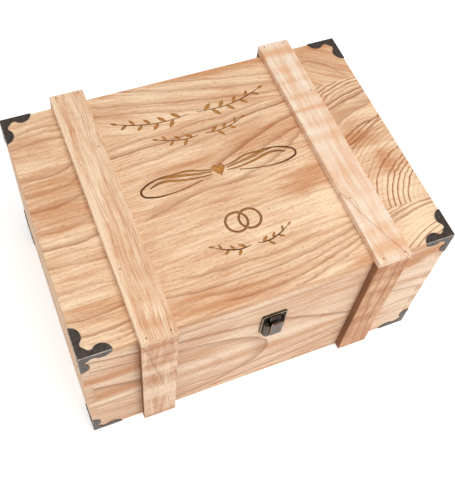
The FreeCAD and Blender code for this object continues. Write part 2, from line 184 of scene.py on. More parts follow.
def timber(name, axes, veins=(), arches=(), shades=(), heart=(0.0, -600.0), squeeze=0.0, lean=0.0,
           ring_pitch=9.0, ring_depth=0.25, ring_shade=4.0, wander=1.0, curl=0.0, ripple=9.0,
           fibres=1.1, pores=0.4, seed=0.0, pale="f5d8b4", tan="cc946a", dark="965327"):
    """Planed, lightly scorched wood: faint rings about a heart, stronger ring lines, shades, fibres, pores.

    axes names the axes along the grain, across it and into the board. Rings are circles about the heart
    (along, across), drawn out along the grain by squeeze and bent by wander, each with a soft shade before
    its line. lean turns them from the edge. arches are single rings that stand out, each with its radius,
    soft side and depth. curl is the strength of bands across the grain, and ripple their reach."""
    material, tree, surface = bare_material(name)
    split = tree.nodes.new("ShaderNodeSeparateXYZ")
    feed(tree, split.inputs[0], tree.nodes.new("ShaderNodeTexCoord").outputs["Object"])
    along, over, deep = [calc(tree, "MULTIPLY", split.outputs[axis], 1 / mm) for axis in axes]
    place = combine(tree, along, over, deep)

    wave = calc(tree, "MULTIPLY", mottle(tree, place, bend_reach, 2.0, seed), 7.0)
    wave = calc(tree, "MULTIPLY_ADD", mottle(tree, place, kink_reach, 2.0, seed + 1), 1.8, wave)
    straight = calc(tree, "MULTIPLY_ADD", along, -lean, calc(tree, "MULTIPLY_ADD", wave, wander, over))
    from_heart = combine(
        tree,
        calc(tree, "MULTIPLY", calc(tree, "SUBTRACT", along, heart[0]), squeeze),
        calc(tree, "SUBTRACT", straight, heart[1]),
    )
    radius = vector(tree, "LENGTH", from_heart)
    lay = combine(tree, along, straight, deep)
    fibre = mottle(tree, lay, fibre_reach, 3.0, seed + 2)
    streak = mottle(tree, lay, streak_reach, 2.0, seed + 3)

    count = calc(tree, "DIVIDE", radius, ring_pitch)
    number = tree.nodes.new("ShaderNodeTexWhiteNoise")
    number.noise_dimensions = "1D"
    feed(tree, number.inputs["W"], calc(tree, "ADD", calc(tree, "FLOOR", count), seed + 0.5))
    strength = spread(tree, number.outputs["Value"], 0.1, 0.9, 0.1, 1.0)
    share = calc(tree, "MULTIPLY_ADD", fibre, 0.08, calc(tree, "FRACT", count))
    rise = spread(tree, share, max(0.25, 0.9 - ring_shade / ring_pitch), 0.9, 0.0, 0.7)
    line = spread(tree, share, 0.72, 0.92, 0.0, 0.3)
    fall = spread(tree, share, 1.02, 0.95)
    ring = calc(tree, "MULTIPLY", calc(tree, "MULTIPLY", calc(tree, "ADD", rise, line), fall), strength)
    ring = calc(tree, "MULTIPLY", ring, ring_depth)
    vein = calc(tree, "MAXIMUM", ring, veined(tree, along, calc(tree, "ADD", over, wave), veins))
    for reach, soft, depth in arches:
        arch = line_shade(tree, calc(tree, "SUBTRACT", radius, reach), soft)
        vein = calc(tree, "MAXIMUM", vein, calc(tree, "MULTIPLY", arch, depth))

    cloud = mottle(tree, lay, cloud_reach, 3.0, seed + 4)
    band = mottle(tree, place, (ripple, curl_width, curl_width), 2.0, seed + 5)
    tone = 0.42
    for pattern, weight in ((cloud, 1.6), (streak, 1.3), (fibre, fibres), (band, curl)):
        tone = calc(tree, "MULTIPLY_ADD", pattern, weight, tone)
    tone = toned(tree, place, tone, shades)
    pore = spread(tree, mottle(tree, lay, pore_reach, 2.0, seed + 6), 0.05, 0.2, 0.0, pores)

    colour = blend(tree, spread(tree, tone, -0.25, 1.25), tint(pale), tint(tan))
    colour = blend(tree, calc(tree, "MULTIPLY", vein, 0.95), colour, tint(dark))
    colour = blend(tree, pore, colour, tint(dark))
    feed(tree, surface.inputs["Base Color"], colour)
    feed(tree, surface.inputs["Roughness"], calc(tree, "MULTIPLY_ADD", fibre, -0.3, 0.58))
    surface.inputs["Specular IOR Level"].default_value = 0.3

    relief = calc(tree, "MULTIPLY_ADD", vein, -0.15, calc(tree, "MULTIPLY", fibre, 0.6))
    relief = calc(tree, "MULTIPLY_ADD", pore, -0.5, relief)
    bump = tree.nodes.new("ShaderNodeBump")
    bump.inputs["Strength"].default_value = 0.5
    bump.inputs["Distance"].default_value = grain_relief
    feed(tree, bump.inputs["Height"], relief)
    feed(tree, surface.inputs["Normal"], bump.outputs["Normal"])
    return material


def block(low, high):
    """Plain block between two corners."""
    low, high = Vector(low), Vector(high)
    shape = bmesh.new()
    place = Matrix.Translation((low + high) / 2) @ Matrix.Diagonal((*(high - low), 1))
    bmesh.ops.create_cube(shape, size=1.0, matrix=place)
    return shape


def break_edges(shape, width, segments=2):
    """Ease every outer edge that turns sharply, and return the new faces."""
    sharp = [
        edge for edge in shape.edges
        if edge.is_manifold and edge.is_convex and edge.calc_face_angle() > sharp_turn
    ]
    eased = bmesh.ops.bevel(shape, geom=sharp, offset=width, offset_type="OFFSET", segments=segments,
                            profile=0.5, affect="EDGES", clamp_overlap=True, material=-1)
    return eased["faces"]


def part_faces(shape, run, lines):
    """Split a shape's faces where they cross lines along one axis. The shape stays as it is."""
    way = Vector((0, 0, 0))
    way[run] = 1
    for line in lines:
        bmesh.ops.bisect_plane(shape, geom=[*shape.verts, *shape.edges, *shape.faces], plane_co=way * line,
                               plane_no=way)


def fit(name, shape, node, body, materials):
    """Turn a shape into a piece that stands for one node of the frame and moves with its body."""
    mesh = bpy.data.meshes.new(name)
    shape.to_mesh(mesh)
    shape.free()
    for material in materials:
        mesh.materials.append(material)
    piece = bpy.data.objects.new(name, mesh)
    bpy.context.scene.collection.objects.link(piece)
    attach(piece, body)
    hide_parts(node)
    return piece


bottom_timber = timber("bottom_timber", "XYZ", lean=0.04, ring_depth=0.5, seed=11.0)
bottom_board = block(*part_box("base_bottom_board"))
break_edges(bottom_board, board_edge)
fit("bottom_board", bottom_board, "base_bottom_board", "base", [bottom_timber])


# Walls of the base and the lid
# Four boards each, 8 mm thick, that meet at the corners in glued finger joints. The box was glued up whole
# and then sawn round, so the grain of each side runs on from the base into the lid.

wall_edge = 0.3 * mm
base_fingers = 9
lid_fingers = 3
level_turn = math.radians(1)

# Middles of the straps, where the figure of a board may change unseen
strap_lines = [
    sum(corner.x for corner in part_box(f"lid_top_{side}_strap")) / 2 for side in ("left", "right")
]
front_tones = {"pale": "f5dbc0", "tan": "cd9467", "dark": "985629"}
front_timbers = [
    timber("front_left_timber", "XZY", veins=(
        ((-192, 185), (-165, 180), (-136, 171), -6, 0.8), ((-185, 161), (-165, 157), (-136, 149), 6, 0.6),
        ((-185, 120), (-165, 113), (-136, 103), -13, 0.9), ((-190, 67), (-165, 67), (-136, 70), 6, 0.5),
        ((-192, 38), (-165, 38), (-136, 39), 5, 0.4),
    ), shades=(
        (-165, 138, 40, 6, 0.8), (-165, 95, 40, 9, 0.8), (-165, 77, 40, 5, -0.6), (-165, 124, 40, 5, -0.5),
        (-165, 110, 60, 60, 0.3),
    ), lean=-0.25, seed=41.0, **front_tones),
    timber("front_middle_timber", "XZY", veins=(
        ((-100, 163), (-50, 153), (-8, 142), -9, 0.65), ((20, 132), (55, 112), (100, 91), -10, 0.8),
        ((-97, 34), (-10, 37), (98, 61), 8, 0.6), ((-97, 8), (0, 16), (92, 38), 9, 0.6),
        ((-100, 181), (-20, 176), (60, 181), 6, 0.4), ((-97, 52), (-50, 46), (-10, 52), 6, 0.35),
    ), arches=((65, -12, 0.65), (38, -8, 0.2)), shades=(
        (0, 91, 150, 7, -0.45), (10, 73, 140, 7, 0.35), (-40, 130, 45, 6, -0.35), (-70, 115, 50, 10, 0.25),
        (-50, 12, 7, 3, 0.8), (88, 175, 10, 5, 0.5),
    ), heart=(-120.0, 76.0), squeeze=0.524, ring_depth=0.06, seed=42.0, **front_tones),
    timber("front_right_timber", "XZY", veins=(
        ((150, 62), (165, 67), (185, 68), 5, 0.6), ((140, 105), (165, 98), (190, 92), 8, 0.6),
        ((138, 28), (165, 36), (190, 40), 6, 0.5),
    ), shades=(
        (152, 164, 14, 9, 1.6), (172, 176, 14, 5, 0.8), (165, 80, 40, 60, -0.6), (160, 118, 30, 7, 0.7),
        (150, 50, 30, 8, 0.6), (165, 134, 30, 6, -0.6),
    ), lean=-0.15, ring_depth=0.15, seed=43.0, **front_tones),
]
plain_rings = {"ring_depth": 0.45, "wander": 1.8}
plain_timbers = {
    "back": timber("back_timber", "XZY", heart=(-60.0, 62.0), squeeze=0.16, seed=44.0, **plain_rings),
    "left": timber("left_timber", "YZX", heart=(90.0, 84.0), squeeze=0.2, seed=45.0, **plain_rings),
    "right": timber("right_timber", "YZX", heart=(-150.0, 110.0), squeeze=0.18, seed=46.0, **plain_rings),
}
end_grain = {"ring_pitch": 3.0, "ring_depth": 0.5, "pale": "efd0b0", "tan": "c2926a", "dark": "8a5731"}
end_timbers = [
    timber("long_end_timber", "XZY", seed=47.0, **end_grain),
    timber("short_end_timber", "YZX", seed=48.0, **end_grain),
]


def finger_wall(node, run, fingers, first):
    """Wall board along one axis, each end cut into fingers on every second step from the first."""
    low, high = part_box(node)
    thickness = min(high - low)
    rise = (high.z - low.z) / fingers
    inner_low, inner_high = low.copy(), high.copy()
    inner_low[run] += thickness
    inner_high[run] -= thickness
    wall = block(inner_low, inner_high)
    part_faces(wall, 2, [low.z + step * rise for step in range(1, fingers)])
    ends = [
        face for face in wall.faces
        if abs(face.normal[run]) > 0.9 and int((face.calc_center_median().z - low.z) / rise) % 2 == first
    ]
    for end in ends:
        outward = end.normal * thickness
        finger = bmesh.ops.extrude_discrete_faces(wall, faces=[end])["faces"][0]
        bmesh.ops.translate(wall, verts=finger.verts, vec=outward)
    bmesh.ops.dissolve_limit(wall, angle_limit=level_turn, verts=wall.verts, edges=wall.edges)
    break_edges(wall, wall_edge)
    return wall


for part, fingers in (("base", base_fingers), ("lid", lid_fingers)):
    for side, run, first in (("front", 0, 0), ("back", 0, 0), ("left", 1, 1), ("right", 1, 1)):
        node = f"{part}_{side}_wall"
        wall = finger_wall(node, run, fingers, first)
        timbers = [*front_timbers, plain_timbers["back"]] if side == "front" else [plain_timbers[side]]
        if side == "front":
            part_faces(wall, 0, strap_lines)
        for face in wall.faces:
            if abs(face.normal[run]) > 0.9:
                face.material_index = len(timbers)
            elif side == "front":
                window = sum(face.calc_center_median().x > line for line in strap_lines)
                face.material_index = len(front_timbers) if face.normal.y > 0.5 else window
        fit(f"{part}_{side}_panel", wall, node, part, [*timbers, end_timbers[run]])


# Top board of the lid
# Three boards glued edge to edge, planed flat and scorched. A heart with flowing strands, leaf sprays and two
# joined rings are burnt a fraction of a millimetre into the surface.

glue_lines = (-90.0 * mm, 79.0 * mm)
lid_timbers = [
    timber("front_stave_left", "XYZ", veins=(
        ((-192, -102), (-165, -104), (-136, -101), 5, 0.6),
        ((-192, -118), (-165, -121), (-136, -119), 5, 0.6),
        ((-170, -131), (-150, -132), (-136, -129), 4, 0.4),
    ), seed=21.0),
    timber("front_stave_middle", "XYZ", veins=(
        ((-70, -95), (0, -98), (60, -92), 5, 0.5), ((-100, -109), (0, -113), (98, -99), 6, 0.6),
        ((-60, -120), (10, -122), (98, -105), 5, 0.5), ((-40, -131), (40, -127), (95, -112), 5, 0.6),
        ((20, -138), (60, -130), (98, -118), 5, 0.5),
    ), shades=(
        (92, -135, 14, 8, 0.7), (-55, -130, 45, 5, 0.9), (-75, -117, 30, 4, 0.6), (-20, -122, 40, 3, 0.4),
    ), lean=0.06, seed=22.0),
    timber("front_stave_right", "XYZ", veins=(
        ((136, -101), (160, -95), (190, -93), 3, 0.7), ((136, -106), (160, -100), (190, -97), 3, 0.6),
    ), shades=((165, -115, 40, 30, -0.5),), heart=(206.0, -168.0), squeeze=0.6, ring_pitch=4.6,
           ring_depth=0.8, ring_shade=1.6, pores=0.15, seed=23.0),
    timber("middle_stave_left", "XYZ", veins=(
        ((-192, -24), (-165, -27), (-138, -24), 8, 0.7), ((-192, -5), (-165, -8), (-138, -4), 6, 0.4),
        ((-192, -45), (-165, -48), (-136, -50), 6, 0.35), ((-190, -75), (-165, -73), (-136, -77), 6, 0.35),
        ((-192, 20), (-165, 18), (-138, 24), 8, 0.6), ((-192, 38), (-165, 36), (-138, 43), 8, 0.5),
        ((-192, 58), (-165, 56), (-138, 62), 8, 0.6),
    ), shades=((-165, 10, 40, 14, 0.4), (-165, 45, 40, 12, 0.35)), seed=24.0),
    timber("middle_stave_middle", "XYZ", veins=(
        ((-95, 66), (0, 72), (90, 77), 5, 0.45), ((-95, 57), (0, 61), (98, 70), 7, 0.8),
        ((-75, 41), (0, 49), (60, 58), 6, 0.45), ((0, 14), (40, 31), (100, 52), 9, 0.8),
        ((40, 14), (75, 27), (100, 34), 7, 0.6), ((-78, -21), (-40, -13), (20, -10), 7, 0.6),
        ((10, -10), (50, 1), (92, 22), 7, 0.6),
    ), shades=(
        (80, -32, 26, 13, 0.4), (72, -46, 10, 12, 0.2), (90, -20, 12, 9, 0.25), (95, -65, 22, 22, -0.45),
        (40, -52, 35, 5, -0.35), (30, 25, 90, 22, 0.25), (-40, 27, 50, 5, 0.35), (0, 0, 140, 90, 0.05),
    ), lean=0.06, seed=25.0),
    timber("middle_stave_right", "XYZ", veins=(
        ((138, 43), (165, 50), (192, 58), 5, 0.9), ((138, 50), (165, 57), (192, 64), 5, 0.9),
        ((138, 23), (165, 32), (192, 41), 20, 0.55), ((138, -8), (165, 4), (192, 22), 6, 0.7),
        ((138, 2), (150, 10), (170, 17), 3, 0.9),
    ), shades=(
        (150, -2, 16, 10, 0.8), (152, 14, 14, 12, 0.7), (168, -34, 8, 22, 0.6), (172, 30, 30, 7, -0.5),
        (168, -72, 24, 20, -0.6), (150, 36, 20, 6, 0.5),
    ), heart=(236.0, -100.0), squeeze=0.85, ring_pitch=4.6, ring_depth=1.1, ring_shade=1.8, wander=1.4,
           fibres=0.8, pores=0.15, seed=26.0),
    timber("back_stave_left", "XYZ", veins=(
        ((-192, 95), (-165, 99), (-136, 98), 5, 0.5), ((-192, 110), (-165, 116), (-136, 114), 5, 0.5),
    ), seed=27.0),
    timber("back_stave_middle", "XYZ", veins=(
        ((-100, 127), (0, 104), (100, 86), 6, 0.5), ((-60, 136), (20, 115), (100, 99), 6, 0.5),
        ((-100, 113), (-40, 100), (20, 86), 6, 0.5), ((0, 132), (50, 121), (100, 112), 6, 0.4),
    ), shades=((60, 134, 60, 6, 0.6), (0, 136, 120, 4, 0.3)), lean=-0.22, seed=28.0),
    timber("back_stave_right", "XYZ", veins=(((143, 114), (165, 103), (181, 80), 6, 0.5),),
           shades=((165, 133, 25, 6, 0.5), (165, 110, 60, 40, 0.2)), lean=-0.7, seed=29.0),
    # Edges of the top board: a darker edge wood, with painted shade on them.
    timber("lid_edge_and_shade_timber", "XYZ", ring_depth=0.4, seed=30.0, pale="e6bc93", tan="ba8255"),
    timber("lid_under_timber", "XYZ", heart=(60.0, 20.0), squeeze=0.12, ring_pitch=10.0, ring_depth=0.4,
           wander=1.8, seed=38.0),
]


def carve(shape, materials, cutter, cutter_material):
    """Take a cutter out of a shape. The cut faces get the material after the shape's own."""
    things = []
    for part, part_materials in ((shape, materials), (cutter, [cutter_material])):
        mesh = bpy.data.meshes.new("carving")
        part.to_mesh(mesh)
        part.free()
        for material in part_materials:
            mesh.materials.append(material)
        things.append(bpy.data.objects.new("carving", mesh))
        bpy.context.scene.collection.objects.link(things[-1])
    cut = things[0].modifiers.new("carve", "BOOLEAN")
    cut.object = things[1]
    cut.solver = "EXACT"
    cut.use_self = True
    cut.material_mode = "TRANSFER"
    carved = bpy.data.meshes.new_from_object(things[0].evaluated_get(bpy.context.evaluated_depsgraph_get()))
    for thing in things:
        bpy.data.objects.remove(thing)
    result = bmesh.new()
    result.from_mesh(carved)
    return result


low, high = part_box("lid_top_board")
lid_board = block(low, high)
break_edges(lid_board, board_edge)
part_faces(lid_board, 0, strap_lines)
part_faces(lid_board, 1, glue_lines)
windows = len(strap_lines) + 1
under_index = len(lid_timbers) - 1
edge_index = under_index - 1
for face in lid_board.faces:
    middle = face.calc_center_median()
    window = sum(middle.x > line for line in strap_lines)
    stave = sum(middle.y > line for line in glue_lines)
    face.material_index = windows * stave + window
    if face.normal.z < 0.5:
        face.material_index = under_index if face.normal.z < -0.5 else edge_index

board_top = high.z
cut_depth = 0.7 * mm
cut_above = 0.3 * mm
floor_share = 0.78
outline_points = 40
groove_slope = 0.5
groove_tip = 0.45
groove_weld = 0.0001 * mm

# Ornament, in millimetres and degrees
heart_half_width = 7.0
heart_middle = 10.2
heart_rise = 0.57
leaf_fullness = 0.2
leaf_turn = 48.0
leaf_taper = 0.35
stem_width = 1.5
ring_width = 2.4
ring_radius = 11.0
ring_apart = 7.0
ring_middle = -54.0
ring_points = 12


def add_pocket(cutter, outline):
    """Add a shallow pocket with sloped sides to a cutter, from a formula that gives its outline by angle."""
    pocket = bmesh.new()
    bmesh.ops.create_circle(pocket, cap_ends=True, segments=outline_points, radius=1.0)
    for vert in pocket.verts:
        vert.co.xy = outline(math.atan2(vert.co.y, vert.co.x))
        vert.co.z = board_top + cut_above
    floor = bmesh.ops.extrude_face_region(pocket, geom=pocket.faces[:])["geom"]
    floor_verts = [part for part in floor if isinstance(part, bmesh.types.BMVert)]
    centre = sum((vert.co for vert in floor_verts), Vector()) / len(floor_verts)
    bmesh.ops.scale(pocket, verts=floor_verts, vec=(floor_share, floor_share, 1.0),
                    space=Matrix.Translation(-centre))
    bmesh.ops.translate(pocket, verts=floor_verts, vec=(0, 0, -cut_depth - cut_above))
    bmesh.ops.recalc_face_normals(pocket, faces=pocket.faces)
    add_shape(cutter, pocket)


def add_shape(cutter, shape):
    """Join a shape to a cutter."""
    mesh = bpy.data.meshes.new("cut")
    shape.to_mesh(mesh)
    shape.free()
    cutter.from_mesh(mesh)


def add_groove(cutter, points, widest, closed=False):
    """Add a V-shaped groove to a cutter along a smooth line through points (mm), thin at both ends."""
    curve = bpy.data.curves.new("groove", "CURVE")
    curve.dimensions = "3D"
    curve.twist_mode = "Z_UP"
    curve.resolution_u = 6
    curve.bevel_depth = widest / 2 * mm
    curve.bevel_resolution = 0
    curve.use_fill_caps = True
    line = curve.splines.new("BEZIER")
    line.use_cyclic_u = closed
    line.bezier_points.add(len(points) - 1)
    for number, (point, (x, y)) in enumerate(zip(line.bezier_points, points)):
        point.co = (x * mm, y * mm, board_top)
        point.handle_left_type = point.handle_right_type = "AUTO"
        way = number / (len(points) - 1)
        point.radius = 1.0 if closed else groove_tip + (1 - groove_tip) * math.sin(math.pi * way)
    thing = bpy.data.objects.new("groove", curve)
    bpy.context.scene.collection.objects.link(thing)
    mesh = bpy.data.meshes.new_from_object(thing.evaluated_get(bpy.context.evaluated_depsgraph_get()))
    bpy.data.objects.remove(thing)
    groove = bmesh.new()
    groove.from_mesh(mesh)
    for vert in groove.verts:
        vert.co.z = board_top + (vert.co.z - board_top) * groove_slope
    bmesh.ops.remove_doubles(groove, verts=groove.verts, dist=groove_weld)
    bmesh.ops.recalc_face_normals(groove, faces=groove.faces)
    add_shape(cutter, groove)


def heart_outline(angle):
    """Heart whose tip points to the front."""
    turn = math.pi / 2 - angle
    wide = math.sin(turn) ** 3
    tall = 13 * math.cos(turn) - 5 * math.cos(2 * turn) - 2 * math.cos(3 * turn) - math.cos(4 * turn)
    return Vector((heart_half_width * wide, heart_middle + heart_rise * tall)) * mm


def add_leaf(cutter, x, y, length, direction):
    """Add one pointed leaf that starts at a place (mm) and grows in a direction (degrees)."""
    way = math.radians(direction)

    def leaf_outline(angle):
        run = math.cos(angle)
        rise = leaf_fullness * length * math.sin(angle) * (1 - 0.5 * run * run)
        reach = length * (run + 1) / 2
        return Vector((x + reach * math.cos(way) - rise * math.sin(way),
                       y + reach * math.sin(way) + rise * math.cos(way))) * mm

    add_pocket(cutter, leaf_outline)


def add_sprig(cutter, start, bend, end, leaves, leaf_length, side):
    """Add a curved stem with leaves in turn on both sides and one at its tip. side is 1 or -1 along X."""
    spots = []
    for number in range(leaves + 1):
        way = number / leaves
        spots.append(tuple(
            (1 - way) ** 2 * first + 2 * way * (1 - way) * middle + way ** 2 * last
            for first, middle, last in zip(start, bend, end)
        ))
    add_groove(cutter, [(side * x, y) for x, y in spots], stem_width)
    for number, (x, y) in enumerate(spots[1:], 1):
        before = spots[number - 1]
        heading = math.degrees(math.atan2(y - before[1], x - before[0]))
        lift = 0 if number == leaves else (leaf_turn if number % 2 else -leaf_turn)
        direction = heading + lift
        size = leaf_length * (1 - leaf_taper * number / leaves)
        add_leaf(cutter, side * x, y, size, direction if side > 0 else 180 - direction)


def ring_spots(x, y):
    """Points of a ring about a place (mm)."""
    turns = [number * math.tau / ring_points for number in range(ring_points)]
    return [(x + ring_radius * math.cos(turn), y + ring_radius * math.sin(turn)) for turn in turns]


# Width and points of each strand on the right. The left ones mirror them
strands = (
    (2.6, ((7, 12), (18, 14), (30, 18), (44, 18.5), (58, 18))),
    (2.9, ((8, 9.5), (22, 11.5), (38, 14.5), (52, 17), (62, 18))),
    (2.3, ((40, 18.6), (55, 19), (68, 17), (78, 13), (83, 8),
           (82, 3), (75, -0.5), (60, -2.5), (40, -1), (20, 3))),
    (2.6, ((8, 6.5), (20, 6.5), (33, 8), (45, 10.5), (56, 13), (65, 12.5), (73, 9.5))),
)
burn = bmesh.new()
add_pocket(burn, heart_outline)
for side in (-1, 1):
    for strand_width, strand in strands:
        add_groove(burn, [(side * x, y) for x, y in strand], strand_width)
    add_sprig(burn, (5, 87), (42, 80), (78, 96), leaves=9, leaf_length=13.0, side=side)
    add_sprig(burn, (4, 58), (22, 53), (45, 64), leaves=6, leaf_length=11.0, side=side)
    add_sprig(burn, (3, -82), (18, -87), (38, -74), leaves=6, leaf_length=9.5, side=side)
    add_groove(burn, ring_spots(side * ring_apart, ring_middle), ring_width, closed=True)

# The cuts are dark near the surface, partly char and partly painted shade on the groove walls, and the dark
# reaches deeper down towards both ends and the front
char_and_shade_depth = (0.08, 0.3)
ends_char_span = (45.0, 80.0)
ends_char_depth = 0.32
front_char_span = (-25.0, -55.0)
front_char_depth = 0.2
burnt_reach = (3.0, 0.8, 0.8)
burnt_relief = 0.1 * mm
burnt_cut, burnt_tree, burnt_surface = bare_material("burnt_cut")
burnt_spot = burnt_tree.nodes.new("ShaderNodeTexCoord").outputs["Object"]
burnt_place = vector(burnt_tree, "MULTIPLY", burnt_spot, (1 / mm, 1 / mm, 1 / mm))
burnt_split = burnt_tree.nodes.new("ShaderNodeSeparateXYZ")
feed(burnt_tree, burnt_split.inputs[0], burnt_place)
burnt_mottle = mottle(burnt_tree, burnt_place, burnt_reach, 3.0, 51.0)
from_middle = calc(burnt_tree, "ABSOLUTE", burnt_split.outputs["X"])
ends_char = spread(burnt_tree, from_middle, *ends_char_span, 0.0, ends_char_depth)
front_char = spread(burnt_tree, burnt_split.outputs["Y"], *front_char_span, 0.0, front_char_depth)
depth = calc(burnt_tree, "SUBTRACT", board_top / mm, burnt_split.outputs["Z"])
depth = calc(burnt_tree, "MULTIPLY_ADD", burnt_mottle, 0.25, depth)
depth = calc(burnt_tree, "SUBTRACT", depth, calc(burnt_tree, "ADD", ends_char, front_char))
toasted = blend(burnt_tree, spread(burnt_tree, burnt_mottle, -0.2, 0.2), tint("c68b4c"), tint("9c632d"))
feed(burnt_tree, burnt_surface.inputs["Base Color"],
     blend(burnt_tree, spread(burnt_tree, depth, *char_and_shade_depth), tint("4a240d"), toasted))
burnt_surface.inputs["Specular IOR Level"].default_value = 0.2
feed(burnt_tree, burnt_surface.inputs["Roughness"], calc(burnt_tree, "MULTIPLY_ADD", burnt_mottle, 0.4, 0.7))
burnt_bump = burnt_tree.nodes.new("ShaderNodeBump")
burnt_bump.inputs["Strength"].default_value = 0.6
burnt_bump.inputs["Distance"].default_value = burnt_relief
feed(burnt_tree, burnt_bump.inputs["Height"], burnt_mottle)
feed(burnt_tree, burnt_surface.inputs["Normal"], burnt_bump.outputs["Normal"])

lid_board = carve(lid_board, lid_timbers, burn, burnt_cut)
fit("lid_board", lid_board, "lid_top_board", "lid", [*lid_timbers, burnt_cut])


# Straps
# Planed battens 8.5 mm thick, glued and nailed on: two over the lid, and two uprights each at the front and
# the back, sawn through with the case. Their edges are rounded over, and the uprights' sides are scorched,
# with painted shade darkening them further.

strap_round = 1.0 * mm
strap_timbers = {
    "front_left": timber("front_left_strap_timber", "ZXY", veins=(
        ((195, -132), (140, -123), (95, -116), 4, 0.45),
    ), shades=(
        (190, -118, 8, 60, 0.5), (165, -118, 7, 60, 0.3), (148, -118, 6, 60, 0.35), (112, -118, 12, 60, 0.35),
        (136, -118, 6, 60, -0.35), (85, -118, 6, 60, -0.4), (70, -118, 12, 60, -0.25),
        (50, -118, 5, 60, 0.25), (32, -118, 6, 60, 0.15), (8, -118, 4, 60, 0.4),
    ), curl=1.0, ripple=2.6, pores=0.25, ring_depth=0.1, wander=1.8, seed=31.0, pale="f4d7bb", tan="c28a60"),
    "front_right": timber("front_right_strap_timber", "ZXY", veins=(
        ((200, 109), (120, 110.5), (5, 117), 4, 0.6), ((200, 123.5), (100, 122.5), (10, 127), 4, 0.6),
        ((200, 100.5), (100, 100.5), (5, 100.5), 3, 0.7), ((150, 131), (80, 130), (10, 133), 4, 0.3),
    ), shades=(
        (190, 118, 8, 60, 0.4), (172, 118, 6, 60, 0.3), (140, 118, 6, 60, 0.25), (80, 118, 6, 60, 0.25),
        (155, 118, 6, 60, -0.3), (95, 118, 6, 60, -0.25), (60, 118, 8, 60, -0.2),
    ), curl=0.5, fibres=1.4, pores=0.25, ring_depth=0.1, seed=32.0, pale="e4b68f", tan="b07043"),
    "back_left": timber("back_left_strap_timber", "ZXY", curl=0.6, ring_depth=0.4, seed=33.0),
    "back_right": timber("back_right_strap_timber", "ZXY", curl=0.9, ring_depth=0.4, seed=34.0),
    # Its first shade pales the strap's left edge and side: painted light where that side catches the lamp.
    "top_left": timber("top_left_strap_timber", "YXZ", shades=(
        (0, -134, 500, 3.5, -0.7), (-105, -116, 7, 12, 0.3), (-130, -116, 6, 14, 0.45),
        (-80, -116, 8, 12, 0.2),
    ), ring_pitch=2.6, ring_depth=0.35, curl=0.4, fibres=2.4, pores=0.2, seed=35.0, pale="f3d6b5"),
    "top_right": timber("top_right_strap_timber", "YXZ", veins=(
        ((-65, 101), (-100, 113), (-147, 131), 1.6, 0.4),
    ), shades=(
        (132, 118, 6, 60, 0.7), (107, 118, 6, 60, 0.3), (88, 118, 4, 60, 0.3), (66, 118, 4, 60, 0.35),
        (47, 118, 2.5, 60, 0.5), (26, 118, 5, 60, 0.3), (8, 118, 5, 60, 0.3), (-38, 112, 8, 20, 0.4),
        (-112, 118, 5, 60, 0.25), (-132, 118, 6, 60, 0.45),
    ), ring_depth=0.06, curl=0.5, fibres=0.9, pores=0.15, seed=36.0, pale="f5e5d1", tan="e0ad84"),
}
# Wood for the uprights' sides: scorched, and darker still as painted shade.
scorched_and_shaded_timber = timber("scorched_and_shaded_timber", "ZXY", ring_depth=0.3, seed=37.0, pale="9c6a45", tan="744527",
                         dark="54301a")


def strap(node):
    batten = block(*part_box(node))
    break_edges(batten, strap_round, segments=3)
    return batten


for side in ("left", "right"):
    node = f"lid_top_{side}_strap"
    fit(f"top_{side}_batten", strap(node), node, "lid", [strap_timbers[f"top_{side}"]])
    for part in ("base", "lid"):
        for face in ("front", "back"):
            node = f"{part}_{face}_{side}_strap"
            upright = strap(node)
            # Sides facing along X take the scorched wood, darkened further as painted shade.
            for flank in upright.faces:
                flank.material_index = int(abs(flank.normal.x) > 0.8)
            fit(f"{part}_{face}_{side}_batten", upright, node, part,
                [strap_timbers[f"{face}_{side}"], scorched_and_shaded_timber])


# Corner protectors
# Pressed from thin steel sheet with scalloped edges, folded over each corner and blackened.
# The sheet's cut edges are rubbed a little brighter, and so are its folds, which also paints the highlight
# along them.

corner_edge = 0.16 * mm
fold_length = 10.0 * mm
rim_rise = 1.5 * mm
grit_reach = (0.35, 0.35, 0.35)
metal_relief = 0.05 * mm
weld_gap = 0.001 * mm
flat_turn = math.radians(0.5)
smooth_turn = math.radians(35)


def metal(name, dark, light, roughness, metallic=0.75, mottle_reach=3.0, seed=0.0):
    """Toned metal: patches of two shades, with fine grit in its gloss."""
    material, tree, surface = bare_material(name)
    spot = tree.nodes.new("ShaderNodeTexCoord").outputs["Object"]
    place = vector(tree, "MULTIPLY", spot, (1 / mm, 1 / mm, 1 / mm))
    patch = mottle(tree, place, (mottle_reach,) * 3, 4.0, seed)
    grit = mottle(tree, place, grit_reach, 3.0, seed)
    shade = spread(tree, patch, -0.18, 0.18)
    feed(tree, surface.inputs["Base Color"], blend(tree, shade, tint(dark), tint(light)))
    gloss = calc(tree, "MULTIPLY_ADD", patch, 0.35, roughness)
    feed(tree, surface.inputs["Roughness"], calc(tree, "MULTIPLY_ADD", grit, 0.1, gloss))
    surface.inputs["Metallic"].default_value = metallic
    bump = tree.nodes.new("ShaderNodeBump")
    bump.inputs["Strength"].default_value = 0.35
    bump.inputs["Distance"].default_value = metal_relief
    feed(tree, bump.inputs["Height"], calc(tree, "MULTIPLY_ADD", patch, 1.5, grit))
    feed(tree, surface.inputs["Normal"], bump.outputs["Normal"])
    return material


